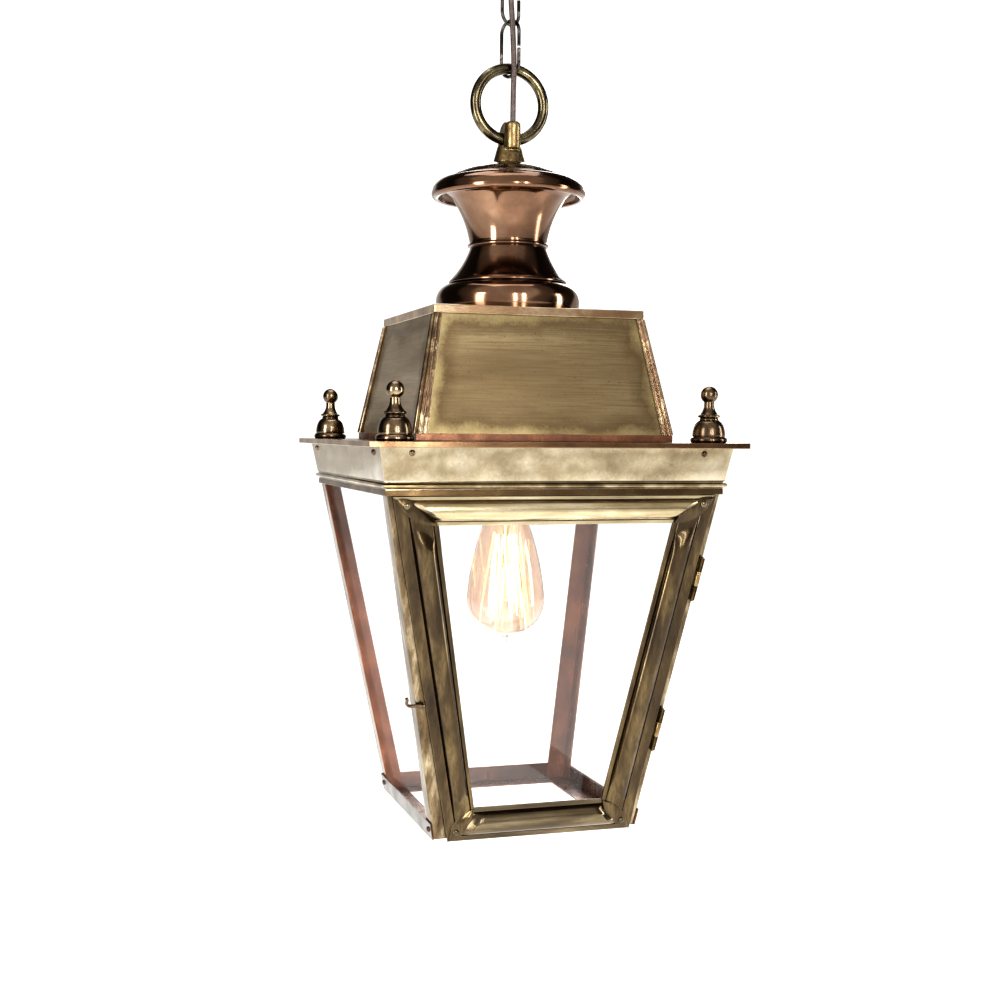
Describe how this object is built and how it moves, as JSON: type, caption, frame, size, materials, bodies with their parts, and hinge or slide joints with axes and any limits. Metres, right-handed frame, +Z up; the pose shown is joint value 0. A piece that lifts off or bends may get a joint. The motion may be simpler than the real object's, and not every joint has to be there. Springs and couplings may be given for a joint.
{
  "type": "hanging lantern",
  "caption": "Tapered square glazed lantern with a vented chimney and hinged door, hung from a ceiling plate by a hook, chain links and ring, with a lit teardrop bulb.",
  "frame": {"origin": "middle of the ceiling plate's top face, where it meets the ceiling", "axes": "+Z is up, out of the ceiling plate's top face; -Y is the door side; X runs along the door, with the hinges at +X"},
  "size_m": [0.291, 0.291, 0.7085],
  "materials": {
    "black_iron": "blackened iron wire, dull, brighter where it rubs",
    "black_plastic": "moulded black grommet",
    "flex_sheath": "brown round flex, slightly glossy",
    "ring_brass": "cast brass, darkened, polished on the high side",
    "cast_brass": "cast brass, dark in the hollows",
    "plain_brass": "machined brass, unlacquered",
    "spun_copper": "spun copper, browned, polished and lacquered",
    "bright_brass": "brass rubbed back bright at its edges",
    "brushed_brass": "antique brass sheet, brushed, mottled brown",
    "antique_brass": "olive-brown antique brass, lacquered",
    "oxidised_copper": "copper sheet, oxidised brown",
    "raw_copper": "copper angle, heat-stained beside the solder",
    "dark_bronze": "dark bronzed brass, glossy",
    "clear_glass": "clear float glass",
    "amber_glass": "amber-tinted blown glass",
    "cap_brass": "rolled brass screw cap",
    "filament": "glowing carbon filament"
  },
  "bodies": {
    "ceiling": {"ceiling_plate": "dark_bronze", "ceiling_hook": "black_iron", "ceiling_grommet": "black_plastic", "flex_cable": "flex_sheath"},
    "upper_link": {"chain_link_upper": "black_iron"},
    "lower_link": {"chain_link_lower": "black_iron"},
    "ring": {"suspension_ring": "ring_brass"},
    "door": {"door_stile_latch": "antique_brass", "door_stile_hinge": "antique_brass", "door_rail_head": "bright_brass", "door_rail_foot": "bright_brass", "door_glass": "clear_glass", "door_rivets": "bright_brass", "hinge_door_leaves": "dark_bronze"},
    "latch": {"latch_lever": "dark_bronze"},
    "bulb": {"bulb_cap": "cap_brass", "bulb_glass": "amber_glass", "bulb_mount": "clear_glass", "bulb_filament": "filament"},
    "lantern": {"hanging_eye": "cast_brass", "flex_inner": "flex_sheath", "stem_tube": "plain_brass", "stem_nuts": "plain_brass", "cap_dome": "spun_copper", "chimney_bell": "spun_copper", "chimney_skirt": "spun_copper", "chimney_base": "spun_copper", "roof_crown": "bright_brass", "roof_panel_front": "brushed_brass", "roof_panel_right": "brushed_brass", "roof_panel_back": "brushed_brass", "roof_panel_left": "brushed_brass", "roof_ribs": "antique_brass", "roof_plinth": "raw_copper", "deck_plate": "antique_brass", "finial_front_left": "dark_bronze", "finial_front_right": "dark_bronze", "finial_back_right": "dark_bronze", "finial_back_left": "dark_bronze", "finial_nuts": "plain_brass", "frieze_front": "antique_brass", "frieze_right": "antique_brass", "frieze_back": "antique_brass", "frieze_left": "antique_brass", "body_screws": "dark_bronze", "bead_moulding": "antique_brass", "head_frame": "antique_brass", "post_front_left": "oxidised_copper", "post_front_right": "oxidised_copper", "post_back_right": "oxidised_copper", "post_back_left": "oxidised_copper", "base_rail_front": "raw_copper", "base_rail_right": "raw_copper", "base_rail_back": "raw_copper", "base_rail_left": "raw_copper", "pane_right": "clear_glass", "pane_back": "clear_glass", "pane_left": "clear_glass", "hinge_post_leaves": "dark_bronze", "lampholder": "black_iron"}
  },
  "joints": [
    {"name": "upper_link_swing", "type": "hinge", "parent": "ceiling", "child": "upper_link", "pos_m": [0, 0, -0.032], "axis": [0.4848, -0.8746, 0], "range_deg": [-20, 20], "deforming": ["flex_cable"]},
    {"name": "lower_link_swing", "type": "hinge", "parent": "upper_link", "child": "lower_link", "pos_m": [0, 0, -0.07245], "axis": [0.8746, 0.4848, 0], "range_deg": [-20, 20], "deforming": ["flex_cable"]},
    {"name": "ring_swing", "type": "hinge", "parent": "lower_link", "child": "ring", "pos_m": [0, 0, -0.1135], "axis": [0, 1, 0], "range_deg": [-18, 18], "deforming": ["flex_cable"]},
    {"name": "lantern_swing", "type": "hinge", "parent": "ring", "child": "lantern", "pos_m": [0, 0, -0.16455], "axis": [1, 0, 0], "range_deg": [-20, 20], "deforming": ["flex_cable"]},
    {"name": "door_hinge", "type": "hinge", "parent": "lantern", "child": "door", "pos_m": [0.1154, -0.1193, -0.50955], "axis": [0.1759, -0.1759, 0.9686], "range_deg": [0, 110]},
    {"name": "latch_turn", "type": "hinge", "parent": "lantern", "child": "latch", "pos_m": [-0.09675, -0.10055, -0.59955], "axis": [0, -0.9839, -0.1787], "range_deg": [0, 90]},
    {"name": "bulb_unscrew", "type": "slide", "parent": "lantern", "child": "bulb", "axis": [0, 0, -1], "range_m": [0, 0.028]}
  ]
}
